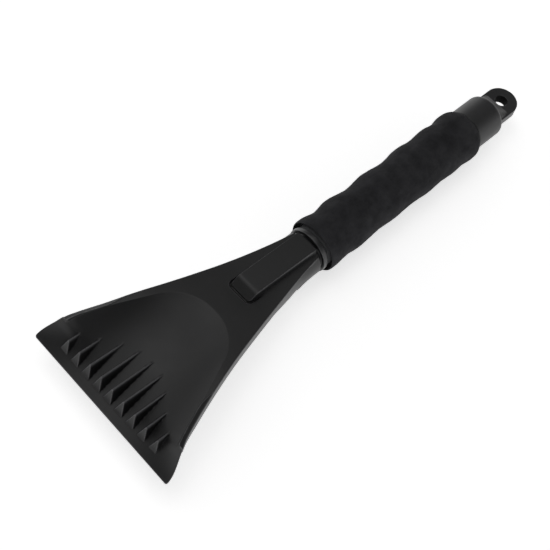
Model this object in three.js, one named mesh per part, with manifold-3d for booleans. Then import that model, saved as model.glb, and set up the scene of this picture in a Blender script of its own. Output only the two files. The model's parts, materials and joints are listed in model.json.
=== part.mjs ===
// Windshield ice scraper: a dished blade with ice-breaking teeth on a foam-covered handle.
// Millimetres, +Z up, teeth side up. +X runs along the handle from the blade's edge to the hanging
// tab, and the whole scraper is symmetric about the XZ plane. The head, handle and cap are laid
// out with x = 0 at the blade's edge and z = 0 on the handle's axis; the group that holds them moves
// the origin to the middle of the footprint, on the surface that the grip rests on.
import * as THREE from "three";
import { mergeVertices } from "three/addons/utils/BufferGeometryUtils.js";
import Module from "manifold-3d";

// ---- Driving dimensions ----
const BLADE_HALF = 50; // half the blade's width
const EDGE_Z = 1.6; // the blade's top face at its edge, above the handle's axis
const EDGE_THICK = 1.0;
const LIP_LENGTH = 14; // from the edge back to where the side flanges begin
const SHELL = 2.6; // wall of the head's shell
const DISH_BACK = 73.5; // where the dish runs out on top of the neck
const NECK_END = 139.2;
const NECK_R = 12.9;
const NECK_FLAT_Z = 8.6; // the flat on top of the neck, at the collar

const TEETH = 9;
const TOOTH_PITCH = 8.4;
const TOOTH_FRONT_X = 4.9; // foot of a tooth's front face
const TOOTH_FOOT_Z = 3;
const TOOTH_TIP_X = 8.4;
const TOOTH_TIP_Z = 11;
const TOOTH_TAIL_X = 41; // each ridge falls from its tip to here, and the dish swallows it first
const TOOTH_TAIL_Z = 6.3;
const TOOTH_RIDGE_HALF = 0.4;
const TOOTH_DRAFT = 0.27;

const TONGUE_HALF = 7;
const TONGUE_FOOT_X = 90.8;
const TONGUE_TOP_X = 95.9;
const TONGUE_TOP_Z = 15;
const TONGUE_END_Z = 12.9;

const SPIGOT_R = 10.5; // the head's stem inside the handle tube
const SPIGOT_END = 176;
const BORE_R = 10.8;
const COLLAR_X = 141.1;
const COLLAR_LENGTH = 4.1;
const COLLAR_R = 13.4;
const TUBE_R = 12.4;
const TUBE_X = 145.4;
const TUBE_END = 272;

const GRIP_X = 145.5;
const GRIP_END = 272;
const GRIP_R = 16; // the first swell
const GRIP_FLAT_Z = 15.3; // the soft swells press flat where the scraper rests on them
// The grip's swells and the valleys between them, as [x, radius].
const GRIP_WAVES = [
  [149, GRIP_R],
  [159.5, 14.85],
  [168.8, 15.85],
  [184.8, 14.55],
  [197.5, 15.5],
  [212.8, 14.6],
  [226.8, 15.7],
  [237.5, 15],
  [249, 15.65],
  [257.4, 14.95],
  [264.5, 15.9],
];

const CAP_X = 272.3;
const CAP_END = 294.1;
const CAP_R = 13.2;
const CAP_ROUND = 2.4;
const PLUG_X = 252;
const TAB_THICK = 6.2;
const TAB_HALF = 10.1;
const HOLE_X = 307.6;
const HOLE_R = 3.8;
const TAB_REACH = 10; // from the hole's middle to the tab's end

const LENGTH = HOLE_X + TAB_REACH;
// Stations of the web between cap and tab: x, half its thickness, and how square its section is.
const WEB = [
  [CAP_END - 3, 8.4, 2],
  [CAP_END - 0.4, 8.4, 2],
  [CAP_END + 1.2, 7.8, 2.1],
  [CAP_END + 3, 6.8, 2.4],
  [CAP_END + 5, 5.5, 2.9],
  [CAP_END + 7.2, 4.2, 4],
  [CAP_END + 9.2, TAB_THICK / 2 + 0.1, 8],
];
const AROUND = 54; // facets round the handle

// ---- Materials ----
const finish = (name, color, roughness) =>
  new THREE.MeshStandardMaterial({ name, color, roughness, metalness: 0 });
const headPlastic = finish("head_plastic", 0x2b2b2c, 0.42);
const trimPlastic = finish("trim_plastic", 0x2f2f31, 0.34);
const corePlastic = finish("core_plastic", 0x1c1c1d, 0.5);
const foamRubber = finish("foam_rubber", 0x1b1c1d, 0.95);

// ---- Shape helpers ----
const wasm = await Module();
wasm.setup();

/** A closed geometry as a solid that can be joined and cut. */
function solid(geometry) {
  const bare = geometry.clone();
  bare.deleteAttribute("normal");
  bare.deleteAttribute("uv");
  const merged = mergeVertices(bare, 1e-4);
  return new wasm.Manifold(
    new wasm.Mesh({
      numProp: 3,
      vertProperties: new Float32Array(merged.attributes.position.array),
      triVerts: new Uint32Array(merged.index.array),
    }),
  );
}

/** A solid's faces as a geometry with flat shading. */
function geometryOf(body) {
  const mesh = body.getMesh();
  const geometry = new THREE.BufferGeometry();
  const places = new THREE.BufferAttribute(mesh.vertProperties.slice(), 3);
  geometry.setAttribute("position", places);
  geometry.setIndex(new THREE.BufferAttribute(mesh.triVerts.slice(), 1));
  const flat = geometry.toNonIndexed();
  flat.computeVertexNormals();
  return flat;
}

/** A value read off a short list of [x, value] pairs, straight between them. */
function along(pairs, x) {
  if (x <= pairs[0][0]) return pairs[0][1];
  for (let i = 1; i < pairs.length; i++) {
    const [x0, v0] = pairs[i - 1];
    const [x1, v1] = pairs[i];
    if (x <= x1) return v0 + ((v1 - v0) * (x - x0)) / (x1 - x0);
  }
  return pairs[pairs.length - 1][1];
}

const smooth = (x, from, to) => THREE.MathUtils.smoothstep(x, from, to);
const mix = THREE.MathUtils.lerp;

/** Skins a row of closed sections, each { x, loop: [[y, z], ...] } and anticlockwise seen from +X. */
function loft(sections) {
  const count = sections[0].loop.length;
  const places = [];
  const faces = [];
  for (const { x, loop } of sections)
    for (const [y, z] of loop) places.push(x, y, z);
  for (let s = 0; s + 1 < sections.length; s++)
    for (let i = 0; i < count; i++) {
      const a = s * count + i;
      const b = s * count + ((i + 1) % count);
      faces.push(a, b, b + count, a, b + count, a + count);
    }
  const cap = (section, start, front) => {
    const outline = section.loop.map(([y, z]) => new THREE.Vector2(y, z));
    for (const [a, b, c] of THREE.ShapeUtils.triangulateShape(outline, []))
      faces.push(start + a, start + (front ? c : b), start + (front ? b : c));
  };
  cap(sections[0], 0, true);
  cap(sections[sections.length - 1], (sections.length - 1) * count, false);
  const geometry = new THREE.BufferGeometry();
  geometry.setAttribute("position", new THREE.Float32BufferAttribute(places, 3));
  geometry.setIndex(faces);
  return geometry;
}

/** A round piece on the handle's axis, from [x, radius] points that go towards +X on the outside. */
function turned(profile, segments = AROUND) {
  const points = profile.map(([x, r]) => new THREE.Vector2(r, x));
  return new THREE.LatheGeometry(points, segments).rotateZ(-Math.PI / 2);
}

/** A flat plate outlined in the XY plane, centred on z = 0. */
function plate(shape, thickness, curveSegments = 20) {
  const options = { depth: thickness, bevelEnabled: false, curveSegments };
  return new THREE.ExtrudeGeometry(shape, options).translate(0, 0, -thickness / 2);
}

/** Names a geometry as one sub-part in its material. */
function piece(name, geometry, material) {
  const mesh = new THREE.Mesh(geometry, material);
  mesh.name = name;
  return mesh;
}

// ---- Scraper head ----
// Half the outline of the head, seen from above: the lip narrows from its edge, then the shoulders
// sweep in to the neck.
const HALF_WIDTH = [
  [0, BLADE_HALF - 0.8],
  [0.3, BLADE_HALF - 0.25],
  [0.9, BLADE_HALF],
  [LIP_LENGTH, 44.7],
  [18, 42.7],
  [26, 39.6],
  [36, 36],
  [50, 31.4],
  [66, 26.5],
  [82, 22.2],
  [98, 18.2],
  [114, 14.5],
  [126, 12],
  [NECK_END, 9.7],
];
// Height of the rim along that outline.
const RIM_Z = [
  [0, EDGE_Z],
  [4, 4.4],
  [10, 9.5],
  [LIP_LENGTH, 13.4],
  [18, 15.4],
  [24, 16.2],
  [38, 16.6],
  [50, 16.3],
  [62, 15.2],
  [78, 13.1],
  [98, 10.6],
  [112, 9.6],
  [NECK_END, NECK_FLAT_Z],
];
// Where the dish stops short of the outline: a narrow rim at first, then an arc that closes it.
const DISH_HALF = [
  [LIP_LENGTH - 0.2, 44.1],
  [LIP_LENGTH + 0.1, 41.8],
  [26, 37],
  [36, 33.2],
  [44, 29.9],
  [50, 27.4],
  [56, 24.9],
];
const ARC_X = 47;
const ARC_FROM = 56; // the arc closes the dish from here back
const ARC_R = DISH_BACK - ARC_X;
// The dish's valley rises from the blade's edge to meet the neck.
const VALLEY_Z = [
  [0, EDGE_Z],
  [LIP_LENGTH, 4.2],
  [34, 7.3],
  [DISH_BACK, 13.75],
];
const DISH_POWER = 2.4;
// A sloped strip runs along each shoulder behind the lip, from here out to the outline.
const STRIP_INNER = [
  [LIP_LENGTH, 41.9],
  [20, 39.6],
  [26, 37.2],
  [36, 33.9],
  [45, 33],
];
const STRIP_END = 45;
const STRIP_SLOPE = 0.5;
// How far the side flanges hang below the shell.
const FLANGE = [
  [LIP_LENGTH, 0],
  [LIP_LENGTH + 0.1, 2],
  [26, 5],
  [44, 6],
  [100, 6],
  [122, 9],
];
const ROUND_FROM = 100; // the flanges curl under from here
const ROUND_TO = 133;
const CLOSE_FROM = 119; // and the channel between them closes here
const CLOSE_TO = 123;

function dishHalf(x) {
  if (x < LIP_LENGTH - 0.2) return along(HALF_WIDTH, x) - 0.6;
  if (x < ARC_FROM) return Math.min(along(DISH_HALF, x), along(HALF_WIDTH, x) - 0.8);
  return x < DISH_BACK ? Math.sqrt(ARC_R ** 2 - (x - ARC_X) ** 2) : 5;
}

/** Width of the shoulder strip. */
function stripWidth(x) {
  if (x < LIP_LENGTH || x > STRIP_END) return 0;
  return Math.max(0, along(HALF_WIDTH, x) - along(STRIP_INNER, x));
}

/** Height of the head's top face at a distance y from its middle. */
function topZ(x, y) {
  const rim = along(RIM_Z, x);
  if (x >= DISH_BACK) return rim;
  const low = Math.min(along(VALLEY_Z, x), rim);
  return mix(low, rim, Math.min(1, y / dishHalf(x)) ** DISH_POWER);
}

/** Half a section of the head as [y, z] points, from the middle of the top round to the bottom. */
function halfSection(x) {
  const half = along(HALF_WIDTH, x);
  const dish = dishHalf(x);
  const rim = along(RIM_Z, x);
  const thick = mix(EDGE_THICK, SHELL, smooth(x, 0, LIP_LENGTH));
  const hang = along(FLANGE, x);
  const round = smooth(x, ROUND_FROM, ROUND_TO);
  const closed = smooth(x, CLOSE_FROM, CLOSE_TO);
  const points = [];
  const dishSteps = 9;
  for (let i = 0; i <= dishSteps; i++) {
    const y = (dish * i) / dishSteps;
    points.push([y, topZ(x, y)]);
  }
  const strip = stripWidth(x);
  const crest = Math.max(half - Math.max(strip, 0.4), dish + 0.1);
  const edge = rim - (STRIP_SLOPE * strip) / 2;
  points.push([crest, rim + (STRIP_SLOPE * strip) / 2], [half, edge]);
  const startAngle = Math.atan2(edge, half);
  const reach = Math.hypot(half, edge);
  const radius = mix(reach, NECK_R, smooth(x, ROUND_FROM, NECK_END));
  const onArc = (t) => {
    const angle = startAngle - t * (startAngle + Math.PI / 2);
    return [radius * Math.cos(angle), radius * Math.sin(angle)];
  };
  const wallSteps = 6;
  const underSteps = 8;
  const steps = wallSteps + underSteps;
  const flat = ([y, z], [ya, za], t) => [mix(y, ya, t), mix(z, za, t)];
  for (let i = 1; i <= wallSteps; i++) {
    const wall = [half, edge - ((thick + hang) * i) / wallSteps];
    points.push(flat(wall, onArc(i / steps), round));
  }
  const inner = Math.max(half - SHELL, 1);
  for (let i = 0; i < underSteps; i++) {
    const y = i === 0 ? inner : (inner - 0.4) * (1 - (i - 1) / (underSteps - 1));
    const under = [y, topZ(x, y) - thick - (i === 0 ? hang : 0)];
    const arc = onArc(Math.min(1, (wallSteps + i + 1) / steps));
    points.push(flat(under, arc, closed));
  }
  return points;
}

/** The whole section: the half above, and its mirror image back up the other side. */
function headSection(x) {
  const right = halfSection(x);
  const left = right.slice(1, -1).map(([y, z]) => [-y, z]);
  return { x, loop: [...right, ...left.reverse()].reverse() };
}

function headShell() {
  const lip = [0, 0.3, 0.9, 4, 7, 10, 12, LIP_LENGTH - 0.2, LIP_LENGTH + 0.1];
  const dish = [18, 22, 26, 31, 36, 40, 44, 50, 56, 60, 64, 67.5, 70, 72, 73.2, DISH_BACK];
  const neck = [78, 84, 91, 98, 104, 110, 115, 119, 120.5, 122, 123, 126, 130, 134, NECK_END];
  return loft([...lip, ...dish, ...neck].map(headSection));
}

/** One tooth: a drafted wedge whose ridge falls from its tip to the dish, with a steep front face. */
function tooth(y) {
  const bury = 1.2; // how far a tooth goes down into the shell
  const fall = (TOOTH_TAIL_Z - TOOTH_TIP_Z) / (TOOTH_TAIL_X - TOOTH_TIP_X);
  const ridgeZ = (x) => TOOTH_TIP_Z + fall * (x - TOOTH_TIP_X);
  const station = (x, top) => {
    const base = Math.min(topZ(x, Math.abs(y)) - bury, top - 0.1);
    const half = (z) => TOOTH_RIDGE_HALF + TOOTH_DRAFT * (ridgeZ(x) - z);
    return {
      x,
      loop: [
        [y - half(base), base],
        [y + half(base), base],
        [y + half(top), top],
        [y - half(top), top],
      ],
    };
  };
  const sections = [0.15, 0.6, 1].map((t) =>
    station(mix(TOOTH_FRONT_X, TOOTH_TIP_X, t), mix(TOOTH_FOOT_Z, TOOTH_TIP_Z, t)),
  );
  for (let x = TOOTH_TIP_X + 4; x < TOOTH_TAIL_X; x += 4) {
    sections.push(station(x, ridgeZ(x)));
    if (ridgeZ(x) < topZ(x, Math.abs(y)) - 0.3) break;
  }
  return loft(sections);
}

/** The raised tongue on the neck, with a ramp at its front. */
function tongue() {
  const station = (x, top) => ({
    x,
    loop: [
      [-TONGUE_HALF - 0.8, 4],
      [TONGUE_HALF + 0.8, 4],
      [TONGUE_HALF, top - 0.5],
      [TONGUE_HALF - 0.5, top],
      [0.5 - TONGUE_HALF, top],
      [-TONGUE_HALF, top - 0.5],
    ],
  });
  return loft([
    station(TONGUE_FOOT_X, 11.2),
    station(TONGUE_TOP_X, TONGUE_TOP_Z),
    station(NECK_END, TONGUE_END_Z),
  ]);
}

function scraperHead() {
  const spigot = turned([
    [NECK_END - 6, 0],
    [NECK_END - 6, SPIGOT_R],
    [SPIGOT_END - 1, SPIGOT_R],
    [SPIGOT_END, SPIGOT_R - 1],
    [SPIGOT_END, 7.5],
    [148, 7.5],
    [148, 0],
  ], 40);
  let body = solid(headShell()).add(solid(spigot)).add(solid(tongue()));
  for (let i = 0; i < TEETH; i++) {
    const y = (i - (TEETH - 1) / 2) * TOOTH_PITCH;
    body = body.add(solid(tooth(y)));
  }
  return geometryOf(body);
}

// ---- Handle ----
function collarRing() {
  const back = COLLAR_X + COLLAR_LENGTH;
  return turned([
    [COLLAR_X, BORE_R],
    [COLLAR_X, COLLAR_R - 1.8],
    [COLLAR_X + 1.8, COLLAR_R - 1.5],
    [COLLAR_X + 1.9, COLLAR_R - 0.3],
    [COLLAR_X + 2.2, COLLAR_R],
    [COLLAR_X + 3.1, COLLAR_R],
    [COLLAR_X + 3.4, COLLAR_R - 0.3],
    [COLLAR_X + 3.4, COLLAR_R - 1],
    [back, COLLAR_R - 1],
    [back, BORE_R],
    [COLLAR_X, BORE_R],
  ]);
}

function handleTube() {
  return turned([
    [TUBE_X, BORE_R],
    [TUBE_X, TUBE_R],
    [TUBE_END, TUBE_R],
    [TUBE_END, BORE_R],
    [TUBE_X, BORE_R],
  ], 40);
}

/** The foam's outline: swells and valleys joined by half cosine waves, with rounded ends. */
function gripProfile() {
  const points = [[GRIP_X, 14.3], [GRIP_X + 0.5, 15.2], [GRIP_X + 1.6, 15.8]];
  for (let i = 0; i + 1 < GRIP_WAVES.length; i++) {
    const [x0, r0] = GRIP_WAVES[i];
    const [x1, r1] = GRIP_WAVES[i + 1];
    for (const t of [0, 0.33, 0.67])
      points.push([mix(x0, x1, t), mix(r0, r1, (1 - Math.cos(Math.PI * t)) / 2)]);
  }
  points.push([264.5, 15.9], [267.5, 15.75], [270, 15], [271.3, 14.2], [GRIP_END, 13.3]);
  return points;
}

function foamGrip() {
  const inner = TUBE_R + 0.2;
  const mouth = [[GRIP_X + 3, inner], [GRIP_X + 0.9, 13.4]]; // the sleeve's front end stands open
  const sleeve = turned([...mouth, ...gripProfile(), [GRIP_END, inner], mouth[0]]);
  const places = sleeve.attributes.position;
  for (let i = 0; i < places.count; i++)
    places.setZ(i, Math.max(places.getZ(i), -GRIP_FLAT_Z));
  return sleeve;
}

// ---- End cap ----
function tabOutline() {
  const shape = new THREE.Shape();
  shape.moveTo(CAP_END - 3, -TAB_HALF);
  shape.lineTo(HOLE_X, -TAB_HALF);
  shape.absellipse(HOLE_X, 0, TAB_REACH, TAB_HALF, -Math.PI / 2, Math.PI / 2, false, 0);
  shape.lineTo(CAP_END - 3, TAB_HALF);
  shape.closePath();
  shape.holes.push(new THREE.Path().absarc(HOLE_X, 0, HOLE_R, 0, 2 * Math.PI, true));
  return shape;
}

/** The web that runs from the round cap down to the flat tab, with a hollow slope on each face. */
function tabRoot() {
  const corners = 32;
  const station = ([x, half, squareness]) => ({
    x,
    loop: Array.from({ length: corners }, (_, i) => {
      const angle = ((i + 0.5) / corners) * 2 * Math.PI;
      const c = Math.cos(angle);
      const s = Math.sin(angle);
      const power = 2 / squareness;
      const y = Math.sign(c) * Math.abs(c) ** power * (TAB_HALF - 0.1);
      return [y, Math.sign(s) * Math.abs(s) ** power * half];
    }),
  });
  return loft(WEB.map(station));
}

function endCap() {
  const rim = [0, 0.33, 0.67, 1].map((t) => {
    const angle = (t * Math.PI) / 2;
    const x = CAP_END - CAP_ROUND * (1 - Math.sin(angle));
    return [x, CAP_R - CAP_ROUND * (1 - Math.cos(angle))];
  });
  const body = turned([
    [PLUG_X, 0],
    [PLUG_X, SPIGOT_R - 0.8],
    [PLUG_X + 1, SPIGOT_R],
    [CAP_X, SPIGOT_R],
    [CAP_X, CAP_R - 0.3],
    [CAP_X + 0.4, CAP_R],
    ...rim,
    [CAP_END, 0],
  ]);
  const joined = solid(body).add(solid(tabRoot())).add(solid(plate(tabOutline(), TAB_THICK)));
  return geometryOf(joined);
}

// ---- The scraper ----
const scraper = new THREE.Group();
scraper.position.set(-LENGTH / 2, 0, GRIP_FLAT_Z);
scraper.add(
  piece("scraper_head", scraperHead(), headPlastic),
  piece("collar_ring", collarRing(), trimPlastic),
  piece("handle_tube", handleTube(), corePlastic),
  piece("foam_grip", foamGrip(), foamRubber),
  piece("end_cap", endCap(), trimPlastic),
);

const group = new THREE.Group();
group.add(scraper);

export default group;
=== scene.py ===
"""Windshield ice scraper, dressed for a studio picture.

A dished blade with a row of ice-breaking teeth and a thumb tongue on its neck, a collar ring, a
closed-cell foam grip over the handle tube, and an end cap with a hanging tab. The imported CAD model
is the fixed frame. Lengths in the classes are millimetres along the handle: x = 0 at the blade's
edge, z = 0 on the handle's axis. The handle frame turns them into metres in the row frame.
"""

import json
import logging
import math
from dataclasses import dataclass
from enum import Enum

import bmesh
import bpy
from mathutils import Matrix, Vector, noise

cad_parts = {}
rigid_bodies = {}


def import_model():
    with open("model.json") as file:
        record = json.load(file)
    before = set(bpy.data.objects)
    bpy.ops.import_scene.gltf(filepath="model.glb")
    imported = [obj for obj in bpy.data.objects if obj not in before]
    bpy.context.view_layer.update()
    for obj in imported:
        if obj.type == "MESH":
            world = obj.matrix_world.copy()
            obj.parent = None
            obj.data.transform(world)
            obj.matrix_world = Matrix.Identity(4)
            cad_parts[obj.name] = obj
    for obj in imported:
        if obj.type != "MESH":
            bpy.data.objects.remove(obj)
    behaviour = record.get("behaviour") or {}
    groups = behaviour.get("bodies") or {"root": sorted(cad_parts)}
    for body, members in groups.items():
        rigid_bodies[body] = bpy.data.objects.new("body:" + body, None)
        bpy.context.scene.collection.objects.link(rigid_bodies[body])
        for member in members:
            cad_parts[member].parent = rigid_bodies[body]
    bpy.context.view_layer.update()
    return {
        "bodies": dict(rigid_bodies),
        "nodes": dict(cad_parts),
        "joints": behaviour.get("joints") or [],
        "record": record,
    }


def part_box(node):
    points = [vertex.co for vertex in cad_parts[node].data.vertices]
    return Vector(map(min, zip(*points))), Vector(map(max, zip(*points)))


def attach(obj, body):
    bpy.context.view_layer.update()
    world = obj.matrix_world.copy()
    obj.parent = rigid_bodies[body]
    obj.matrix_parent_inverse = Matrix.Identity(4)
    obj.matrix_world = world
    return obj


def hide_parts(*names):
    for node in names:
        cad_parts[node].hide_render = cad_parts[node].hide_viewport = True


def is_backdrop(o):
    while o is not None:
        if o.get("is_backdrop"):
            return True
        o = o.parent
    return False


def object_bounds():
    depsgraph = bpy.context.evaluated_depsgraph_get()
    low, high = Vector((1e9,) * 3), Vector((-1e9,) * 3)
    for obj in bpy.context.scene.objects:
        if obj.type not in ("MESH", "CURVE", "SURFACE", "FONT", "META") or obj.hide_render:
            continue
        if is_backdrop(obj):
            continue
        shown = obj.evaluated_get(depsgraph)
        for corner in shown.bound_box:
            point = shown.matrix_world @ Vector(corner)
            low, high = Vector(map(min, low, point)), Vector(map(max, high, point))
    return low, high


LOG = logging.getLogger("ice_scraper")
MM = 0.001
CREASE = math.radians(38)  # edges sharper than this stay crisp
WELD = 1e-4  # millimetres within which two points become one
BURIED = -60.0  # a height far below every face of the head

Point = tuple[float, float]
Place = tuple[float, float, float]


# ---- Curves and small sums ----
def mix(a: float, b: float, t: float) -> float:
    """Value a share t of the way from a to b."""
    return a + (b - a) * t


def ease(x: float, start: float, end: float) -> float:
    """Smooth step from 0 at start to 1 at end."""
    t = min(1.0, max(0.0, (x - start) / (end - start)))
    return t * t * (3 - 2 * t)


def soft_min(a: float, b: float, blend: float) -> float:
    """Lower of two heights, with the crease between them rounded over about blend millimetres."""
    overlap = max(blend - abs(a - b), 0.0) / blend
    return min(a, b) - overlap * overlap * blend * 0.25


def soft_max(a: float, b: float, blend: float) -> float:
    """Higher of two heights, with the crease between them filled like a mould's small fillet."""
    return -soft_min(-a, -b, blend)


class Join(Enum):
    """How a curve runs between its points."""

    STRAIGHT = "straight"
    SMOOTH = "smooth"


@dataclass(frozen=True)
class Curve:
    """A dimension that changes along the handle, read off a few [x, value] points."""

    points: tuple[Point, ...]
    join: Join = Join.SMOOTH

    def _slope(self, i: int) -> float:
        """Slope at a point, which never overshoots its neighbours.

        Args:
            i: the point's number.

        Returns:
            The slope there.
        """
        if i == 0 or i == len(self.points) - 1:
            j = min(max(i, 1), len(self.points) - 1)
            (x0, v0), (x1, v1) = self.points[j - 1], self.points[j]
            return (v1 - v0) / (x1 - x0)
        (x0, v0), (x1, v1), (x2, v2) = self.points[i - 1 : i + 2]
        before, after = (v1 - v0) / (x1 - x0), (v2 - v1) / (x2 - x1)
        if before * after <= 0:
            return 0.0
        return 2 * before * after / (before + after)

    def at(self, x: float) -> float:
        """Reads the curve.

        Args:
            x: place along the handle, in millimetres.

        Returns:
            The value there. Past either end it is the end's own value.
        """
        pts = self.points
        if x <= pts[0][0]:
            return pts[0][1]
        if x >= pts[-1][0]:
            return pts[-1][1]
        i = next(k for k in range(1, len(pts)) if x <= pts[k][0])
        (x0, v0), (x1, v1) = pts[i - 1], pts[i]
        span = x1 - x0
        t = (x - x0) / span
        if self.join is Join.STRAIGHT:
            return mix(v0, v1, t)
        m0, m1 = self._slope(i - 1) * span, self._slope(i) * span
        rise = (2 * t - 3) * t * t
        return (rise + 1) * v0 + ((t - 2) * t + 1) * t * m0 - rise * v1 + (t - 1) * t * t * m1


# ---- The frame that the pieces are laid out in ----
@dataclass(frozen=True)
class HandleFrame:
    """Turns millimetres along the handle into metres in the row frame."""

    edge_x: float
    axis_z: float

    @classmethod
    def from_nodes(cls) -> "HandleFrame":
        """Reads the blade's edge and the handle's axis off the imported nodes.

        Returns:
            The frame.
        """
        head_low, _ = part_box("scraper_head")
        tube_low, tube_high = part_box("handle_tube")
        return cls(head_low.x, (tube_low.z + tube_high.z) / 2)

    def matrix(self) -> Matrix:
        """Millimetres on the handle to metres in the row frame."""
        return Matrix.Translation((self.edge_x, 0, self.axis_z)) @ Matrix.Scale(MM, 4)


def new_object(name: str, data: bpy.types.ID) -> bpy.types.Object:
    """Puts a new object in the scene.

    Args:
        name: its name.
        data: its mesh, light or camera.

    Returns:
        The object.
    """
    made = bpy.data.objects.new(name, data)
    bpy.context.scene.collection.objects.link(made)
    return made


def merge_in(whole: bmesh.types.BMesh, part: bmesh.types.BMesh) -> None:
    """Adds one bmesh to another.

    Args:
        whole: the bmesh that grows.
        part: the bmesh that is added, and freed.
    """
    mesh = bpy.data.meshes.new("part")
    part.to_mesh(mesh)
    part.free()
    whole.from_mesh(mesh)
    bpy.data.meshes.remove(mesh)


def edge_loop(bm: bmesh.types.BMesh, points: list[Place]) -> list[bmesh.types.BMEdge]:
    """Adds a closed loop of edges through some points."""
    verts = [bm.verts.new(point) for point in points]
    return [bm.edges.new(pair) for pair in zip(verts, verts[1:] + verts[:1])]


def seal(bm: bmesh.types.BMesh) -> None:
    """Fills a mesh's open ends and points its faces outwards."""
    bmesh.ops.holes_fill(bm, edges=[e for e in bm.edges if e.is_boundary], sides=0)
    bmesh.ops.recalc_face_normals(bm, faces=bm.faces)


def finish_piece(
    bm: bmesh.types.BMesh, name: str, frame: HandleFrame, material: bpy.types.Material
) -> bpy.types.Object:
    """Turns a bmesh in handle millimetres into a finished piece at the origin.

    Args:
        bm: the piece's mesh, which is freed.
        name: the piece's name.
        frame: the handle's place in the row frame.
        material: its finish.

    Returns:
        The new object, linked and shaded smooth with crisp creases.
    """
    bmesh.ops.transform(bm, matrix=frame.matrix(), verts=bm.verts)
    mesh = bpy.data.meshes.new(name)
    bm.to_mesh(mesh)
    bm.free()
    mesh.shade_smooth()
    mesh.set_sharp_from_angle(angle=CREASE)
    mesh.materials.append(material)
    return new_object(name, mesh)


def turned(profile: list[Point], steps: int, close: bool = True) -> bmesh.types.BMesh:
    """Spins a profile round the handle's axis.

    Args:
        profile: [x, radius] points in order.
        steps: facets round the axis.
        close: joins the last point back to the first, for a ring with a bore.

    Returns:
        A closed mesh with its normals outwards.
    """
    bm = bmesh.new()
    verts = [bm.verts.new((x, 0, r)) for x, r in profile]
    edges = [bm.edges.new(pair) for pair in zip(verts, verts[1:])]
    if close:
        edges.append(bm.edges.new((verts[-1], verts[0])))
    bmesh.ops.spin(
        bm, geom=[*verts, *edges], cent=(0, 0, 0), axis=(1, 0, 0),
        angle=2 * math.pi, steps=steps, use_merge=True,
    )
    bmesh.ops.remove_doubles(bm, verts=bm.verts, dist=WELD)
    bmesh.ops.recalc_face_normals(bm, faces=bm.faces)
    return bm


def rounded(corner: Point, before: Point, after: Point, radius: float) -> list[Point]:
    """Points of a round that replaces a profile's corner.

    Args:
        corner: the sharp corner.
        before: the profile's point before it.
        after: the profile's point after it.
        radius: how far from the corner the round starts.

    Returns:
        Five points from the first side to the second.
    """
    c, a, b = Vector(corner), Vector(before), Vector(after)
    start = c + (a - c).normalized() * radius
    end = c + (b - c).normalized() * radius
    steps = 4
    points = []
    for i in range(steps + 1):
        t = i / steps
        p = start * (1 - t) ** 2 + c * (2 * t * (1 - t)) + end * t * t
        points.append((p.x, p.y))
    return points


# ---- Finishes ----
def linear(hex_colour: str) -> tuple[float, float, float, float]:
    """Turns an sRGB hex colour to linear.

    Args:
        hex_colour: six hex digits, such as 1f1f20.

    Returns:
        Linear red, green and blue, and an alpha of 1.
    """

    def channel(value: float) -> float:
        """Linear value of one sRGB channel."""
        return value / 12.92 if value <= 0.04045 else ((value + 0.055) / 1.055) ** 2.4

    red, green, blue = (channel(int(hex_colour[i : i + 2], 16) / 255) for i in (0, 2, 4))
    return red, green, blue, 1.0


class NodeSheet:
    """The node tree of a material or of the world, with one way of adding a node."""

    def __init__(self, owner: bpy.types.Material | bpy.types.World) -> None:
        """Empties the owner's node tree.

        Args:
            owner: the new material or world.
        """
        owner.use_nodes = True
        self.owner = owner
        self.tree = owner.node_tree
        self.tree.nodes.clear()

    def add(
        self,
        kind: str,
        settings: dict[str, object] | None = None,
        values: dict[str | int, object] | None = None,
        links: dict[str | int, bpy.types.NodeSocket] | None = None,
    ) -> bpy.types.Node:
        """Adds a node.

        Args:
            kind: the node's type name.
            settings: attributes of the node.
            values: unlinked input values by socket.
            links: output sockets that feed its inputs.

        Returns:
            The new node.
        """
        node = self.tree.nodes.new(kind)
        for key, value in (settings or {}).items():
            setattr(node, key, value)
        for key, value in (values or {}).items():
            node.inputs[key].default_value = value
        for key, source in (links or {}).items():
            self.tree.links.new(source, node.inputs[key])
        return node


def per_metre(size_mm: float) -> float:
    """Texture scale that gives features of about size_mm on Object coordinates in metres."""
    return 1000.0 / size_mm


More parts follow.
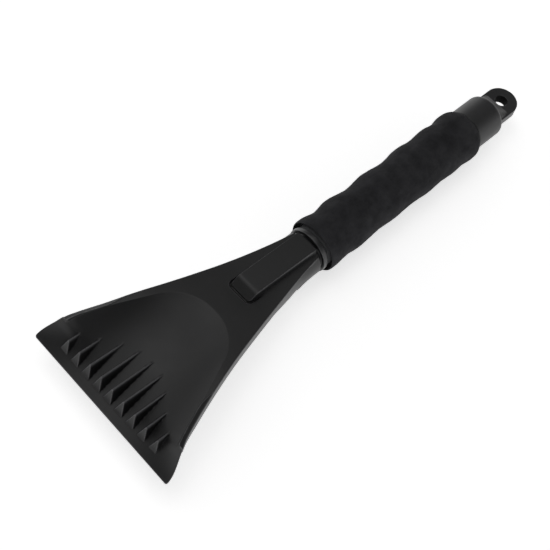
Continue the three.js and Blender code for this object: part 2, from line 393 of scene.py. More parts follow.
@dataclass(frozen=True)
class MouldedPlastic:
    """Injection-moulded thermoplastic. A spark-eroded mould gives the fine grain and even sheen;
    convex edges get a painted highlight.
    """

    name: str
    body: str  # sRGB of the pigment
    worn: str  # sRGB of rubbed patches
    roughness: float
    grain_mm: float  # drawn coarser than the mould's real grain, so that it shows
    grain_depth: float  # millimetres
    specular: float = 0.5
    roughness_swing: float = 0.06
    flow_mm: float = 38.0  # slow drift of sheen from the melt's flow
    scuff_mm: float = 5.5  # size of the rubbed patches
    painted_highlight_colour: str = "5c5c5e"  # sRGB of the painted highlight on convex edges
    painted_highlight_span: Point = (0.51, 0.57)  # pointiness at which the painted edge highlight begins and is strongest
    painted_highlight_reach: float = 1.0  # metres along the row at which the painted edge highlights stop
    painted_highlight_fade: float = 0.002  # metres over which they fade out

    def material(self) -> bpy.types.Material:
        """Builds the node material.

        Returns:
            The material.
        """
        sheet = NodeSheet(bpy.data.materials.new(self.name))
        coords = sheet.add("ShaderNodeTexCoord").outputs["Object"]
        flow, grain, scuff = (
            sheet.add(
                "ShaderNodeTexNoise",
                values={"Scale": per_metre(size), "Detail": detail, "Roughness": roughness},
                links={"Vector": coords},
            )
            for size, detail, roughness in (
                (self.flow_mm, 3.0, 0.55),
                (self.grain_mm, 2.0, 0.6),
                (self.scuff_mm, 5.0, 0.7),
            )
        )
        rub = sheet.add(
            "ShaderNodeMapRange",
            values={"From Min": 0.52, "From Max": 0.78, "To Min": 0.0, "To Max": 0.5},
            links={"Value": scuff.outputs["Fac"]},
        )
        colour = sheet.add(
            "ShaderNodeMix",
            settings={"data_type": "RGBA"},
            values={6: linear(self.body), 7: linear(self.worn)},
            links={0: rub.outputs["Result"]},
        )
        sheen = sheet.add(
            "ShaderNodeMapRange",
            values={
                "From Min": 0.3,
                "From Max": 0.7,
                "To Min": self.roughness - self.roughness_swing,
                "To Max": self.roughness + self.roughness_swing,
            },
            links={"Value": flow.outputs["Fac"]},
        )
        along = sheet.add("ShaderNodeSeparateXYZ", links={"Vector": coords})
        # Painted highlight: convex edges, found by pointiness, are paled towards a highlight colour,
        # which fades out at a set place along the row.
        highlight_allowed = sheet.add(
            "ShaderNodeMapRange",
            values={"From Min": self.painted_highlight_reach, "From Max": self.painted_highlight_reach - self.painted_highlight_fade},
            links={"Value": along.outputs["X"]},
        )
        edge = sheet.add(
            "ShaderNodeMapRange",
            values={"From Min": self.painted_highlight_span[0], "From Max": self.painted_highlight_span[1]},
            links={
                "Value": sheet.add("ShaderNodeNewGeometry").outputs["Pointiness"],
                "To Max": highlight_allowed.outputs["Result"],
            },
        )
        highlighted_colour = sheet.add(
            "ShaderNodeMix",
            settings={"data_type": "RGBA"},
            values={7: linear(self.painted_highlight_colour)},
            links={0: edge.outputs["Result"], 6: colour.outputs[2]},
        )
        bump = sheet.add(
            "ShaderNodeBump",
            values={"Strength": 0.35, "Distance": self.grain_depth * MM},
            links={"Height": grain.outputs["Fac"]},
        )
        shader = sheet.add(
            "ShaderNodeBsdfPrincipled",
            values={"IOR": 1.5, "Specular IOR Level": self.specular},
            links={
                "Base Color": highlighted_colour.outputs[2],
                "Roughness": sheen.outputs["Result"],
                "Normal": bump.outputs["Normal"],
            },
        )
        sheet.add("ShaderNodeOutputMaterial", links={"Surface": shader.outputs[0]})
        return sheet.owner


@dataclass(frozen=True)
class ClosedCellFoam:
    """Closed-cell foam rubber. Its skin is dead matt, with shallow pores and faint blotches."""

    name: str = "closed_cell_foam_rubber"
    body: str = "242426"  # sRGB of the foam
    bloom: str = "343436"  # sRGB of its paler blotches
    pore_mm: float = 1.1  # drawn coarser than real cells, so that they show
    pore_depth: float = 0.16  # millimetres
    skin_mm: float = 0.7
    blotch_mm: float = 9.0

    def material(self) -> bpy.types.Material:
        """Builds the node material.

        Returns:
            The material.
        """
        sheet = NodeSheet(bpy.data.materials.new(self.name))
        coords = sheet.add("ShaderNodeTexCoord").outputs["Object"]
        pores = sheet.add(
            "ShaderNodeTexVoronoi",
            settings={"feature": "SMOOTH_F1"},
            values={"Scale": per_metre(self.pore_mm), "Smoothness": 0.6},
            links={"Vector": coords},
        )
        skin, blotch = (
            sheet.add(
                "ShaderNodeTexNoise",
                values={"Scale": per_metre(size), "Detail": detail, "Roughness": 0.6},
                links={"Vector": coords},
            )
            for size, detail in ((self.skin_mm, 3.0), (self.blotch_mm, 4.0))
        )
        relief = sheet.add(
            "ShaderNodeMath",
            settings={"operation": "ADD"},
            links={0: pores.outputs["Distance"], 1: skin.outputs["Fac"]},
        )
        tone = sheet.add(
            "ShaderNodeMapRange",
            values={"From Min": 0.35, "From Max": 0.68},
            links={"Value": blotch.outputs["Fac"]},
        )
        colour = sheet.add(
            "ShaderNodeMix",
            settings={"data_type": "RGBA"},
            values={6: linear(self.body), 7: linear(self.bloom)},
            links={0: tone.outputs["Result"]},
        )
        bump = sheet.add(
            "ShaderNodeBump",
            values={"Strength": 0.6, "Distance": self.pore_depth * MM},
            links={"Height": relief.outputs[0]},
        )
        shader = sheet.add(
            "ShaderNodeBsdfPrincipled",
            values={"IOR": 1.45, "Roughness": 0.92, "Specular IOR Level": 0.16},
            links={"Base Color": colour.outputs[2], "Normal": bump.outputs["Normal"]},
        )
        sheet.add("ShaderNodeOutputMaterial", links={"Surface": shader.outputs[0]})
        return sheet.owner


@dataclass(frozen=True)
class Finishes:
    """The scraper's finishes, one for each kind of piece."""

    head: bpy.types.Material
    ring: bpy.types.Material
    cap: bpy.types.Material
    # near-black finish that paints the shade inside the hanging hole
    bore: bpy.types.Material
    core: bpy.types.Material
    foam: bpy.types.Material

    @classmethod
    def mixed(cls) -> "Finishes":
        """Makes each finish once.

        Returns:
            The finishes.
        """
        # ABS from a spark-eroded mould: an even satin sheen, with a painted highlight along its
        # edges that stops short of the neck's end.
        head = MouldedPlastic(
            "moulded_abs_satin", "101011", "19191a", 0.43, 0.45, 0.035, painted_highlight_reach=-0.0215
        )
        # ABS from a smoother mould: narrower highlights on the turned rim, which the painted edge
        # highlight also brightens.
        ring = MouldedPlastic("moulded_abs_ring", "1a1a1b", "242425", 0.3, 0.6, 0.02)
        # ABS from a polished mould: a paler black with broad, soft highlights, and only a faint
        # painted edge highlight.
        cap = MouldedPlastic(
            "moulded_abs_gloss", "212122", "2b2b2c", 0.42, 0.6, 0.02, painted_highlight_colour="2c2c2e"
        )
        # Painted shade for the hanging hole's wall: dull and nearly black, standing in for the shade
        # inside the hole.
        bore = MouldedPlastic(
            "hole_wall_painted_shade", "050505", "080808", 0.8, 0.6, 0.02,
            specular=0.15, painted_highlight_colour="080808",
        )
        # Polypropylene pushed through a die: plain and a little waxy. The foam hides it.
        core = MouldedPlastic("extruded_polypropylene", "111112", "1a1a1b", 0.5, 0.8, 0.03)
        foam = ClosedCellFoam()
        return cls(*(finish.material() for finish in (head, ring, cap, bore, core, foam)))


# ---- Scraper head ----
@dataclass(frozen=True)
class Teeth:
    """The row of ice-breaking teeth: drafted wedges that sink into the dish behind their tips."""

    count: int = 9
    pitch: float = 8.4
    front_x: float = 4.9
    foot_z: float = 3.0
    tip_x: float = 8.4
    tip_z: float = 11.0
    tail_x: float = 41.0
    tail_z: float = 6.3
    ridge_half: float = 0.4
    draft: float = 0.27
    edge_round: float = 0.35
    front_round: float = 1.6  # rounding of the front edge, as a multiple of edge_round
    lead: float = 3.0  # how far ahead of its front a tooth is looked for

    def height(self, x: float, y: float) -> float:
        """Height of the nearest tooth above the handle's axis, far below the dish between teeth.

        Args:
            x: place along the handle.
            y: place across the blade.

        Returns:
            The height in millimetres.
        """
        if not self.front_x - self.lead < x < self.tail_x:
            return BURIED
        last = (self.count - 1) // 2
        near = max(-last, min(last, round(y / self.pitch)))
        off = abs(y - near * self.pitch)
        fall = (self.tail_z - self.tip_z) / (self.tail_x - self.tip_x)
        ridge = self.tip_z + fall * (x - self.tip_x)
        flank = ridge - (off - self.ridge_half) / self.draft
        rise = (self.tip_z - self.foot_z) / (self.tip_x - self.front_x)
        front = self.foot_z + rise * (x - self.front_x)
        crown = soft_min(ridge, flank, self.edge_round)
        return soft_min(crown, front, self.edge_round * self.front_round)


@dataclass(frozen=True)
class Tongue:
    """The raised thumb tongue along the top of the neck, with a ramp at its front."""

    foot_x: float = 90.8
    foot_z: float = 11.2
    top_x: float = 95.9
    top_z: float = 15.0
    end_z: float = 12.9
    end_x: float = 139.2
    half: float = 7.0
    side_lean: float = 0.1
    corner_round: float = 1.8
    edge_round: float = 0.9
    top_round: float = 1.4  # how softly the ramp turns into the flat top
    lead: float = 4.0  # how far ahead of its foot the tongue is looked for
    groove_depth: float = 1.1
    groove_centre: float = 0.585  # millimetres outside the tongue's outline
    groove_half: float = 0.975  # half its width
    groove_fade: float = 92.9  # where it begins to grow shallow
    groove_end: float = 101.0

    def _outside(self, x: float, y: float) -> float:
        """Distance from the tongue's rounded outline.

        Args:
            x: place along the handle.
            y: place across it.

        Returns:
            The distance in millimetres, negative inside the outline.
        """
        dx = self.foot_x + self.corner_round - x
        dy = abs(y) - (self.half - self.corner_round)
        if dx > 0 and dy > 0:
            return math.hypot(dx, dy) - self.corner_round
        return max(dx, dy) - self.corner_round

    def groove(self, x: float, y: float) -> float:
        """Depth of the shadow groove round the foot of the ramp.

        Args:
            x: place along the handle.
            y: place across it.

        Returns:
            The depth in millimetres, 0 away from the groove.
        """
        if not self.foot_x - self.lead < x < self.groove_end:
            return 0.0
        off = self._outside(x, y) - self.groove_centre
        share = max(0.0, 1 - (off / self.groove_half) ** 2)
        fade = 1 - ease(x, self.groove_fade, self.groove_end)
        return self.groove_depth * share * fade

    def height(self, x: float, y: float) -> float:
        """Height of the tongue above the handle's axis.

        Args:
            x: place along the handle.
            y: place across it.

        Returns:
            The height in millimetres, far below the neck outside the tongue.
        """
        if x < self.foot_x - self.lead:
            return BURIED
        rise = (self.top_z - self.foot_z) / (self.top_x - self.foot_x)
        ramp = self.foot_z + rise * (x - self.foot_x)
        fall = (self.end_z - self.top_z) / (self.end_x - self.top_x)
        flat = self.top_z + fall * (x - self.top_x)
        top = soft_min(ramp, flat, self.top_round)
        side = top - self._outside(x, y) / self.side_lean
        return soft_min(top, side, self.edge_round)


@dataclass(frozen=True)
class ScraperHead:
    """The moulded head: blade lip, dish, side flanges, neck and the spigot inside the tube."""

    teeth: Teeth = Teeth()
    tongue: Tongue = Tongue()
    half_width: Curve = Curve((
        (0, 49.2), (0.3, 49.75), (0.9, 50), (14, 44.7), (18, 42.7), (26, 39.6), (36, 36),
        (50, 31.4), (66, 26.5), (82, 22.2), (98, 18.2), (114, 14.5), (126, 12), (139.2, 9.7),
    ))
    rim: Curve = Curve((
        (0, 1.6), (4, 4.4), (10, 9.5), (14, 13.4), (18, 15.4), (24, 16.2), (38, 16.55),
        (50, 16.3), (62, 15.2), (78, 13.1), (98, 10.6), (112, 9.6), (139.2, 8.6),
    ))
    valley: Curve = Curve(((0, 1.6), (14, 4.2), (34, 7.3), (73.5, 13.75)))
    dish_half: Curve = Curve(
        ((14, 44.1), (18, 41.4), (26, 37), (36, 33.2), (44, 29.9), (50, 27.4), (56, 24.92))
    )
    strip_inner: Curve = Curve(((14, 41.9), (20, 39.6), (26, 37.2), (36, 33.9), (45, 33)))
    strip_end: float = 45.0
    strip_slope: float = 0.5
    strip_lean: float = 0.25
    strip_front_round: float = 0.1
    strip_round: float = 0.15
    tooth_fillet: float = 0.4
    tongue_fillet: float = 0.25
    flange: Curve = Curve(((14, 0), (14.1, 2), (26, 5), (44, 6), (100, 6), (122, 9)), Join.STRAIGHT)
    lip_length: float = 14.0
    lip_land: float = 0.6  # width of the level strip at each end of the lip
    arc_x: float = 47.0
    arc_from: float = 56.0
    dish_back: float = 73.5
    dish_power: float = 2.4
    edge_thick: float = 1.0
    shell: float = 2.6
    neck_radius: float = 12.9
    neck_end: float = 139.2
    round_from: float = 100.0
    round_to: float = 133.0
    close_from: float = 119.0
    close_to: float = 123.0
    rim_round: float = 0.45
    spigot_radius: float = 10.5
    spigot_bore: float = 7.5
    spigot_end: float = 176.0
    spigot_floor: float = 148.0  # the bottom of its bore
    spigot_root: float = 4.0  # how far it reaches into the neck
    spigot_facets: int = 64
    wall_lean: float = 0.35
    top_columns: int = 150
    wall_rows: int = 10
    flange_rows: int = 5
    under_rows: int = 26
    widest: float = 50.0
    straight_half: float = 37.4  # within this the columns run straight back over the teeth
    straight_taper: float = 0.85
    straight_end: float = 12.0  # where that width begins to shrink
    edge_band: float = 4.0

    def _dish_edge(self, x: float) -> float:
        """Distance from the middle to where the dish meets the rim, ahead of the dish's back.

        Args:
            x: place along the handle.

        Returns:
            The distance in millimetres.
        """
        if x < self.lip_length:
            return self.half_width.at(x) - self.lip_land
        if x < self.arc_from:
            return self.dish_half.at(x)
        radius = self.dish_back - self.arc_x
        return math.sqrt(max(radius**2 - (x - self.arc_x) ** 2, 0.01))

    def _shell_top(self, x: float, y: float) -> float:
        """Height of the dish and rim, without teeth or tongue.

        Args:
            x: place along the handle.
            y: place across it.

        Returns:
            The height in millimetres.
        """
        rim = self.rim.at(x)
        if x >= self.dish_back:
            return rim
        low = min(self.valley.at(x), rim)
        share = min(1.0, abs(y) / self._dish_edge(x))
        return mix(low, rim, share**self.dish_power)

    def _strip_width(self, x: float) -> float:
        """Width of the sloped strip along a shoulder.

        Args:
            x: place along the handle.

        Returns:
            The width in millimetres, 0 behind the strip.
        """
        if x > self.strip_end:
            return 0.0
        place = max(x, self.lip_length)
        return max(0.0, self.half_width.at(place) - self.strip_inner.at(place))

    def _edge_z(self, x: float) -> float:
        """Height of the outline's top edge, which the shoulder strip lowers."""
        lowered = 0.0 if x < self.lip_length else self.strip_slope * self._strip_width(x) / 2
        return self.rim.at(x) - lowered

    def _with_strip(self, shell: float, x: float, y: float) -> float:
        """Adds the shoulder strip, which slopes outwards from a low crest.

        Args:
            shell: height without it.
            x: place along the handle.
            y: place across it.

        Returns:
            The height with it.
        """
        width = self._strip_width(x)
        if width <= 0 or x < self.lip_length - 1:
            return shell
        beyond = abs(y) - self.strip_inner.at(x)
        crest = self.rim.at(x) + self.strip_slope * width / 2
        if x < self.lip_length:
            front = crest - (self.lip_length - x) / self.strip_lean
            return soft_max(shell, front, self.strip_front_round) if beyond >= 0 else shell
        if beyond >= 0:
            return crest - self.strip_slope * beyond
        return soft_max(shell, crest + beyond / self.strip_lean, self.strip_round)

    def _top(self, x: float, y: float) -> float:
        """Height of the finished top face.

        Args:
            x: place along the handle.
            y: place across it.

        Returns:
            The height in millimetres.
        """
        shell = self._with_strip(self._shell_top(x, y), x, y)
        shell = soft_max(shell, self.teeth.height(x, y), self.tooth_fillet)
        shell -= self.tongue.groove(x, y)
        return soft_max(shell, self.tongue.height(x, y), self.tongue_fillet)

    def _stations(self) -> list[float]:
        """Places along the handle, close together over the tooth fronts and the ramp.

        Returns:
            The places in order, in millimetres.
        """
        runs = (
            (0.9, 4), (4.2, 8), (9.2, 30), (13.9, 10), (14.1, 1), (42.0, 44), (76.0, 54),
            (86.5, 9), (97.5, 30), (self.neck_end, 34),
        )
        places = [0.0]
        for end, steps in runs:
            start = places[-1]
            places += [mix(start, end, (i + 1) / steps) for i in range(steps)]
        return places

    def _across(self, column: int, x: float, half: float) -> float:
        """Place across the blade of a top column.

        Columns keep to straight lines over the teeth, and close up towards the outline outside.

        Args:
            column: the column's number from the middle.
            x: place along the handle.
            half: how far out the last column is.

        Returns:
            The distance from the middle in millimetres.
        """
        base = self.widest * column / self.top_columns
        behind = max(0.0, x - self.straight_end)
        keep = max(0.0, self.straight_half - self.straight_taper * behind)
        keep = min(keep, half - self.edge_band)
        if base <= keep:
            return base
        return mix(keep, half, (base - keep) / (self.widest - keep))

    def _ring(self, x: float) -> list[Point]:
        """Half a section: from the middle of the top, round the wall, to the middle below.

        Args:
            x: place along the handle.

        Returns:
            As many [y, z] points at every station.
        """
        half = self.half_width.at(x)
        rim = self._edge_z(x)
        thick = mix(self.edge_thick, self.shell, ease(x, 0, self.lip_length))
        hang = self.flange.at(x)
        curl = ease(x, self.round_from, self.round_to)
        closed = ease(x, self.close_from, self.close_to)
        fillet = min(self.rim_round, thick * 0.4)
        points: list[Point] = []
        for column in range(self.top_columns + 1):
            y = self._across(column, x, half - fillet)
            points.append((y, self._top(x, y)))
        points += rounded((half, rim), (half - 1, rim), (half, rim - 1), fillet)[1:]
        start = math.atan2(rim - fillet, half)
        reach = math.hypot(half, rim - fillet)
        radius = mix(reach, self.neck_radius, ease(x, self.round_from, self.neck_end))
        steps = self.wall_rows + self.under_rows

        def on_arc(step: int) -> Point:
            """Point of the round neck, a number of steps down from the rim."""
            angle = start - min(1.0, step / steps) * (start + math.pi / 2)
            return radius * math.cos(angle), radius * math.sin(angle)

        def blend(plain: Point, step: int, share: float) -> Point:
            """Plain point, drawn towards the round neck by a share."""
            arc = on_arc(step)
            return mix(plain[0], arc[0], share), mix(plain[1], arc[1], share)

        depth = thick + hang - fillet
        for i in range(1, self.wall_rows + 1):
            wall = (half, rim - fillet - depth * i / self.wall_rows)
            points.append(blend(wall, i, curl))
        inner = max(half - self.shell, 1.0)
        for i in range(self.under_rows):
            if i < self.flange_rows:
                y = inner - self.wall_lean * i / (self.flange_rows - 1)
                roof = self._shell_top(x, y) - thick
                z = mix(roof - hang, roof, i / (self.flange_rows - 1))
            else:
                left = 1 - (i - self.flange_rows + 1) / (self.under_rows - self.flange_rows)
                y = (inner - self.wall_lean) * left
                z = self._shell_top(x, y) - thick
            points.append(blend((y, z), self.wall_rows + i + 1, closed))
        return points

    def _shell_mesh(self) -> bmesh.types.BMesh:
        """Half the head as a grid wrapped round its sections, mirrored and closed at both ends.

        Returns:
            The head's mesh, without its stem.
        """
        stations = self._stations()
        rings = [self._ring(x) for x in stations]
        across = len(rings[0]) - 1
        along = len(stations) - 1
        bm = bmesh.new()
        bmesh.ops.create_grid(bm, x_segments=along, y_segments=across, size=0.5)
        for vert in bm.verts:
            i = round((vert.co.x + 0.5) * along)
            j = round((vert.co.y + 0.5) * across)
            y, z = rings[i][j]
            on_middle = j in (0, across)
            vert.co = (stations[i], 0.0 if on_middle else y, z)
        geometry = [*bm.verts, *bm.edges, *bm.faces]
        bmesh.ops.mirror(bm, geom=geometry, matrix=Matrix.Identity(4), merge_dist=WELD, axis="Y")
        bmesh.ops.remove_doubles(bm, verts=bm.verts, dist=WELD)
        seal(bm)
        return bm

    def _spigot(self) -> bmesh.types.BMesh:
        """The stem that the handle tube is pushed onto.

        Returns:
            The stem's mesh.
        """
        root, end, floor = self.neck_end - self.spigot_root, self.spigot_end, self.spigot_floor
        outer, bore = self.spigot_radius, self.spigot_bore
        profile = [(root, 0), (root, outer), (end - 1, outer), (end, outer - 1)]
        profile += [(end, bore), (floor, bore), (floor, 0)]
        return turned(profile, self.spigot_facets, close=False)

    def build(self, frame: HandleFrame, finishes: Finishes) -> bpy.types.Object:
        """Builds and dresses the head, and puts it in place of its CAD node.

        Args:
            frame: the handle's place in the row frame.
            finishes: the scraper's finishes.

        Returns:
            The finished piece.
        """
        bm = self._shell_mesh()
        merge_in(bm, self._spigot())
        piece = finish_piece(bm, "moulded_head", frame, finishes.head)
        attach(piece, "root")
        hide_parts("scraper_head")
        return piece


# ---- Handle ----
@dataclass(frozen=True)
class CollarRing:
    """The ring between the neck and the grip: a wide rounded rim and a set-back sleeve."""

    start: float = 141.1
    length: float = 4.1
    radius: float = 13.4
    front_radius: float = 11.0
    sleeve_radius: float = 12.4
    rim_start: float = 0.35
    rim_end: float = 3.3
    bore: float = 10.8
    front_round: float = 0.2
    edge_round: float = 0.5
    facets: int = 128

    def build(self, frame: HandleFrame, finishes: Finishes) -> bpy.types.Object:
        """Builds and dresses the ring, and puts it in place of its CAD node.

        Args:
            frame: the handle's place in the row frame.
            finishes: the scraper's finishes.

        Returns:
            The finished piece.
        """
        back, rim_x = self.start + self.length, self.start + self.rim_end
        front = (self.start, self.front_radius)
        neck = (self.start + self.rim_start, self.front_radius + 0.3)
        rim_front = (self.start + self.rim_start, self.radius)
        rim_back, foot = (rim_x, self.radius), (rim_x, self.sleeve_radius)
        profile = [
            (self.start, self.bore),
            *rounded(front, (self.start, self.bore), neck, self.front_round),
            neck,
            *rounded(rim_front, neck, rim_back, self.edge_round),
            *rounded(rim_back, rim_front, foot, self.edge_round),
            foot,
            (back, self.sleeve_radius),
            (back, self.bore),
        ]
        piece = finish_piece(turned(profile, self.facets), "collar", frame, finishes.ring)
        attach(piece, "root")
        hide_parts("collar_ring")
        return piece


@dataclass(frozen=True)
class HandleTube:
    """The extruded tube under the foam, which keeps its CAD shape."""

    node: str = "handle_tube"

    def dress(self, nodes: dict[str, bpy.types.Object], finishes: Finishes) -> None:
        """Gives the tube's node its finish."""
        for material_slot in nodes[self.node].material_slots:
            material_slot.material = finishes.core


@dataclass(frozen=True)
class FoamGrip:
    """The foam sleeve: finger waves, deeper on one side, with dimpled skin and rounded ends."""

    waves: tuple[Point, ...] = (
        (149, 15.95), (159.5, 14.85), (168.8, 15.85), (184.8, 14.55), (197.5, 15.5),
        (212.8, 14.6), (226.8, 15.7), (237.5, 15), (249, 15.65), (257.4, 14.95), (264.5, 15.9),
    )
    mouth: tuple[Point, ...] = ((150.6, 12.6), (150.2, 14.2), (147.5, 14.85), (146.2, 15.05))
    front: tuple[Point, ...] = ((145.6, 15.15), (145.8, 15.5), (146.2, 15.75), (147.4, 15.9))
    floor_flat: float = 15.3  # how low the swells reach where the scraper rests on them
    flat_round: float = 0.3
    rear: tuple[Point, ...] = ((267.5, 15.75), (270, 15), (271.3, 14.2), (271.8, 13.6), (272, 13))
    bore: float = 12.6
    skin: float = 0.1  # what is nearer than this to the bore or the front stays as it was turned
    deep_side: Point = (0.951, 0.309)  # direction across the handle
    deepening: float = 0.35  # share by which troughs deepen there, and fill on the other side
    dimple: float = 0.07
    unrest: float = 0.22  # dimples to a millimetre, roughly
    facets: int = 144
    step: float = 0.8
    gap: float = 0.3  # least distance between a regular station and one at an end

    def _radius(self, x: float) -> tuple[float, float]:
        """Reads the grip's outline.

        Args:
            x: place along the handle.

        Returns:
            The radius there, and how far it is below the higher of the swells on both sides.
        """
        waves = self.waves
        if x <= waves[0][0]:
            return Curve((*self.front, waves[0])).at(x), 0.0
        if x >= waves[-1][0]:
            return Curve((waves[-1], *self.rear)).at(x), 0.0
        i = next(k for k in range(1, len(waves)) if x <= waves[k][0])
        (x0, r0), (x1, r1) = waves[i - 1], waves[i]
        t = (1 - math.cos(math.pi * (x - x0) / (x1 - x0))) / 2
        radius = mix(r0, r1, t)
        return radius, max(r0, r1) - radius

    def build(self, frame: HandleFrame, finishes: Finishes) -> bpy.types.Object:
        """Builds and dresses the grip, and puts it in place of its CAD node.

        Args:
            frame: the handle's place in the row frame.
            finishes: the scraper's finishes.

        Returns:
            The finished piece.
        """
        start, end = self.front[0][0], self.rear[-1][0]
        ends = [p[0] for p in (*self.front, *self.rear)]
        count = round((end - start) / self.step)
        regular = [mix(start, end, i / count) for i in range(1, count)]
        clear = [x for x in regular if min(abs(x - e) for e in ends) > self.gap]
        stations = sorted({*ends, *clear})
        outer = [(x, self._radius(x)[0]) for x in stations]
        bm = turned([*self.mouth, *outer, (end, self.bore)], self.facets)
        side_y, side_z = self.deep_side
        for vert in bm.verts:
            x, y, z = vert.co
            radius = math.hypot(y, z)
            if radius < self.bore + self.skin or x < start + self.skin:
                continue
            facing = (y * side_y + z * side_z) / radius
            _, depth = self._radius(x)
            pull = depth * self.deepening * facing
            seed = Vector((x * self.unrest, y * self.unrest, z * self.unrest))
            sway = noise.noise(seed) * self.dimple * 2 - self.dimple
            scale = (radius - pull + min(0.0, sway)) / radius
            vert.co = (x, y * scale, -soft_min(-z * scale, self.floor_flat, self.flat_round))
        piece = finish_piece(bm, "foam_sleeve", frame, finishes.foam)
        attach(piece, "root")
        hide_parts("foam_grip")
        return piece


# ---- End cap ----
@dataclass(frozen=True)
class EndCap:
    """The cap on the handle's end, moulded in one with its flat hanging tab."""

    start: float = 272.3
    end: float = 294.1
    radius: float = 13.2
    round_edge: float = 2.4
    edge_steps: int = 10
    plug_start: float = 252.0
    plug_radius: float = 10.5
    tab_thick: float = 6.2
    tab_half: float = 10.1
    hole_x: float = 307.6
    hole_radius: float = 3.8
    tab_end_radius: float = 10.0
    tab_root: float = 3.0  # how far the tab reaches into the cap
    web: tuple[Place, ...] = (
        (-3.0, 8.4, 2.0), (-0.4, 8.4, 2.0), (1.2, 7.8, 2.1), (3.0, 6.8, 2.4),
        (5.0, 5.5, 2.9), (7.2, 4.2, 4.0), (9.2, 3.2, 8.0),
    )  # offset from the cap's end, half the thickness, squareness of the section
    web_inset: float = 0.1
    bore_slack: float = 0.12  # faces this close to the hole's wall belong to it
    voxel: float = 0.3
    facets: int = 128
    corners: int = 48

    def _body(self) -> bmesh.types.BMesh:
        """The round cap with its plug, which goes into the tube.

        Returns:
            The cap's mesh.
        """
        plug, outer, edge = self.plug_radius, self.radius, self.round_edge
        profile = [(self.plug_start, 0), (self.plug_start, plug - 0.8)]
        profile += [(self.plug_start + 1, plug), (self.start, plug)]
        profile += [(self.start, outer - 0.3), (self.start + 0.3, outer)]
        for i in range(self.edge_steps + 1):
            angle = math.pi / 2 * i / self.edge_steps
            across = outer - edge * (1 - math.cos(angle))
            profile.append((self.end - edge * (1 - math.sin(angle)), across))
        return turned([*profile, (self.end, 0)], self.facets, close=False)

    def _tab(self) -> bmesh.types.BMesh:
        """The flat tab with its hole, from two outlines that are bridged and extruded.

        Returns:
            The tab's mesh.
        """
        below = -self.tab_thick / 2
        reach = self.hole_x - (self.end - self.tab_root)
        outline, hole = [], []
        for i in range(self.corners):
            turn = 2 * math.pi * i / self.corners
            dx, dy = math.cos(turn), math.sin(turn)
            hole.append((self.hole_x + self.hole_radius * dx, self.hole_radius * dy, below))
            if dx >= 0:
                x, y = self.hole_x + self.tab_end_radius * dx, self.tab_half * dy
            else:
                stretch = min(reach / -dx, self.tab_half / max(abs(dy), 1e-6))
                x, y = self.hole_x + dx * stretch, dy * stretch
            outline.append((x, y, below))
        bm = bmesh.new()
        edges = edge_loop(bm, outline) + edge_loop(bm, hole)
        made = bmesh.ops.bridge_loops(bm, edges=edges)
        raised = bmesh.ops.extrude_face_region(bm, geom=made["faces"])
        lifted = [g for g in raised["geom"] if isinstance(g, bmesh.types.BMVert)]
        bmesh.ops.translate(bm, verts=lifted, vec=(0, 0, self.tab_thick))
        seal(bm)
        return bm

    def _web(self) -> bmesh.types.BMesh:
        """The web that runs from the round cap down to the flat tab, hollow on each face.

        Returns:
            The web's mesh.
        """
        bm = bmesh.new()
        rings = []
        for offset, height, squareness in self.web:
            ring = []
            for i in range(self.corners):
                turn = 2 * math.pi * (i + 0.5) / self.corners
                c, s = math.cos(turn), math.sin(turn)
                half = self.tab_half - self.web_inset
                y = math.copysign(abs(c) ** (2 / squareness), c) * half
                z = math.copysign(abs(s) ** (2 / squareness), s) * height
                ring.append((self.end + offset, y, z))
            rings.append(edge_loop(bm, ring))
        for near, far in zip(rings, rings[1:]):
            bmesh.ops.bridge_loops(bm, edges=[*near, *far])
        seal(bm)
        return bm

    def _paint_hole_shade(
        self, mesh: bpy.types.Mesh, frame: HandleFrame, bore: bpy.types.Material
    ) -> None:
        """Paints the wall of the hanging hole dull and nearly black, as shade inside the hole.

        Args:
            mesh: the fused cap.
            frame: the handle's place in the row frame.
            bore: the painted-shade finish of the hole's wall.
        """
        mesh.materials.append(bore)
        to_handle = frame.matrix().inverted()
        for face in mesh.polygons:
            place = to_handle @ face.center
            off_axis = math.hypot(place.x - self.hole_x, place.y)
            if off_axis < self.hole_radius + self.bore_slack:
                face.material_index = 1

    def build(self, frame: HandleFrame, finishes: Finishes) -> bpy.types.Object:
        """Builds and dresses the cap, and puts it in place of its CAD node.

        The three solids are fused by a voxel remesh, whose smoothing leaves the small fillets that
        the moulded cap has where its tab meets its end.

        Args:
            frame: the handle's place in the row frame.
            finishes: the scraper's finishes.

        Returns:
            The finished piece.
        """
        joined = bmesh.new()
        for part in (self._body(), self._tab(), self._web()):
            merge_in(joined, part)
        piece = finish_piece(joined, "end_cap_with_tab", frame, finishes.cap)
        remesh = piece.modifiers.new("fuse", "REMESH")
        remesh.mode = "VOXEL"
        remesh.voxel_size = self.voxel * MM
        remesh.use_smooth_shade = True
        relax = piece.modifiers.new("fillets", "CORRECTIVE_SMOOTH")
        relax.smooth_type = "LENGTH_WEIGHTED"
        relax.use_only_smooth = True
        relax.iterations = 4
        graph = bpy.context.evaluated_depsgraph_get()
        fused = bpy.data.meshes.new_from_object(piece.evaluated_get(graph))
        piece.modifiers.clear()
        rough = piece.data
        piece.data = fused
        bpy.data.meshes.remove(rough)
        fused.name = piece.name
        self._paint_hole_shade(fused, frame, finishes.bore)
        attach(piece, "root")
        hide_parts("end_cap")
        return piece


# ---- Studio ----
@dataclass(frozen=True)
class SoftBox:
    """A square soft light that points at the middle of the row frame."""

    name: str
    place: Place  # metres
    side: float  # metres
    power: float  # watts

    def hang(self) -> None:
        """Puts the light in the scene."""
        data = bpy.data.lights.new(self.name, "AREA")
        data.shape = "SQUARE"
        data.size = self.side
        data.energy = self.power
        turn = Vector(self.place).to_track_quat("Z", "Y").to_matrix().to_4x4()
        new_object(self.name, data).matrix_world = Matrix.Translation(self.place) @ turn


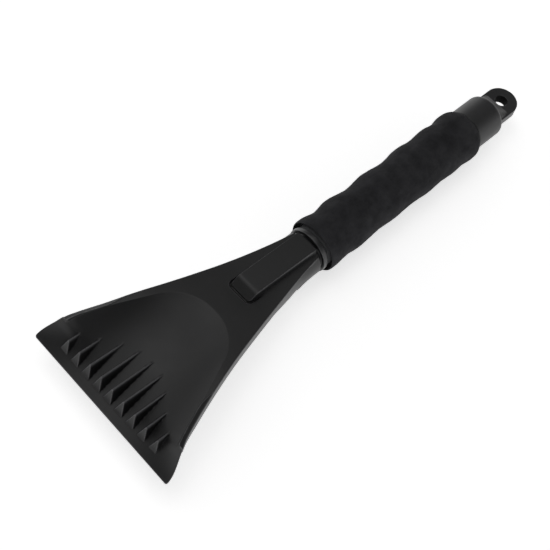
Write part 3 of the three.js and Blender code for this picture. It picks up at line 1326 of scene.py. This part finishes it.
@dataclass(frozen=True)
class Studio:
    """The pale floor, the soft lights and the camera."""

    camera_place: Place = (-108.07, -150.58, 463.46)  # handle millimetres
    camera_right: Place = (0.72188, -0.67952, 0.13097)
    camera_up: Place = (0.54965, 0.67799, 0.48808)
    lens: float = 66.2
    sensor: float = 36.0
    floor_half: float = 3.0  # metres
    floor_colour: str = "f4f4f4"
    floor_glow: float = 0.63  # a lit shooting table keeps the shadows pale
    boxes: tuple[SoftBox, ...] = (
        SoftBox("key", (-0.15, 0.8, 1.35), 1.4, 3.4),
        SoftBox("top", (0.15, 0.15, 1.9), 1.7, 6.4),
    )
    horizon: float = 1.25  # strength of the light from the sides and below
    overhead: float = 0.08  # strength of the light from straight above
    fade: Point = (0.05, 0.62)  # upward share of a direction where one turns into the other

    def camera(self, frame: HandleFrame) -> None:
        """Makes the scene's camera.

        Args:
            frame: the handle's place in the row frame.
        """
        data = bpy.data.cameras.new("camera")
        data.lens = self.lens
        data.sensor_width = self.sensor
        data.clip_start = 0.01
        data.clip_end = 20
        right = Vector(self.camera_right).normalized()
        up = Vector(self.camera_up).normalized()
        turn = Matrix((right, up, right.cross(up))).transposed().to_4x4()
        place = frame.matrix() @ Vector(self.camera_place)
        camera = new_object("camera", data)
        camera.matrix_world = Matrix.Translation(place) @ turn
        bpy.context.scene.camera = camera

    def floor(self) -> None:
        """Lays the floor under the grip, of matt paper that shows soft shadows and no gloss."""
        sheet = NodeSheet(bpy.data.materials.new("floor_paper"))
        shader = sheet.add(
            "ShaderNodeBsdfPrincipled",
            values={
                "Base Color": linear(self.floor_colour),
                "Roughness": 0.95,
                "Specular IOR Level": 0.1,
                "Emission Color": (1, 1, 1, 1),
                "Emission Strength": self.floor_glow,
            },
        )
        sheet.add("ShaderNodeOutputMaterial", links={"Surface": shader.outputs[0]})
        bm = bmesh.new()
        bmesh.ops.create_grid(bm, x_segments=1, y_segments=1, size=self.floor_half)
        mesh = bpy.data.meshes.new("floor")
        bm.to_mesh(mesh)
        bm.free()
        mesh.materials.append(sheet.owner)
        floor = new_object("floor", mesh)
        floor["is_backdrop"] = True

    def surround(self) -> None:
        """Sets the light from all round: bright paper near the floor, a dim ceiling."""
        sheet = NodeSheet(bpy.data.worlds.new("surround"))
        coords = sheet.add("ShaderNodeTexCoord")
        split = sheet.add("ShaderNodeSeparateXYZ", links={0: coords.outputs["Generated"]})
        strength = sheet.add(
            "ShaderNodeMapRange",
            settings={"interpolation_type": "SMOOTHSTEP"},
            values={
                "From Min": self.fade[0],
                "From Max": self.fade[1],
                "To Min": self.horizon,
                "To Max": self.overhead,
            },
            links={"Value": split.outputs["Z"]},
        )
        light = sheet.add(
            "ShaderNodeBackground",
            values={"Color": (1, 1, 1, 1)},
            links={"Strength": strength.outputs["Result"]},
        )
        sheet.add("ShaderNodeOutputWorld", links={"Surface": light.outputs[0]})
        bpy.context.scene.world = sheet.owner

    def build(self, frame: HandleFrame) -> None:
        """Sets up the whole studio.

        Args:
            frame: the handle's place in the row frame.
        """
        self.camera(frame)
        self.floor()
        for box in self.boxes:
            box.hang()
        self.surround()
        bpy.context.scene.view_settings.view_transform = "Standard"


def corners() -> list[list[float]]:
    """Lowest and highest corner of what is shown, as plain numbers."""
    return [list(map(float, corner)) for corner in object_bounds()]


def main() -> None:
    """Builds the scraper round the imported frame, dresses it, and sets up the studio."""
    logging.basicConfig(level=logging.INFO, format="%(name)s: %(message)s")
    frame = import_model()
    handle = HandleFrame.from_nodes()
    finishes = Finishes.mixed()
    HandleTube().dress(frame["nodes"], finishes)
    for part in (ScraperHead(), CollarRing(), FoamGrip(), EndCap()):
        piece = part.build(handle, finishes)
        triangles = sum(len(p.vertices) - 2 for p in piece.data.polygons)
        LOG.info("%s built, %d triangles", piece.name, triangles)
    Studio().build(handle)


if __name__ == "__main__":
    main()
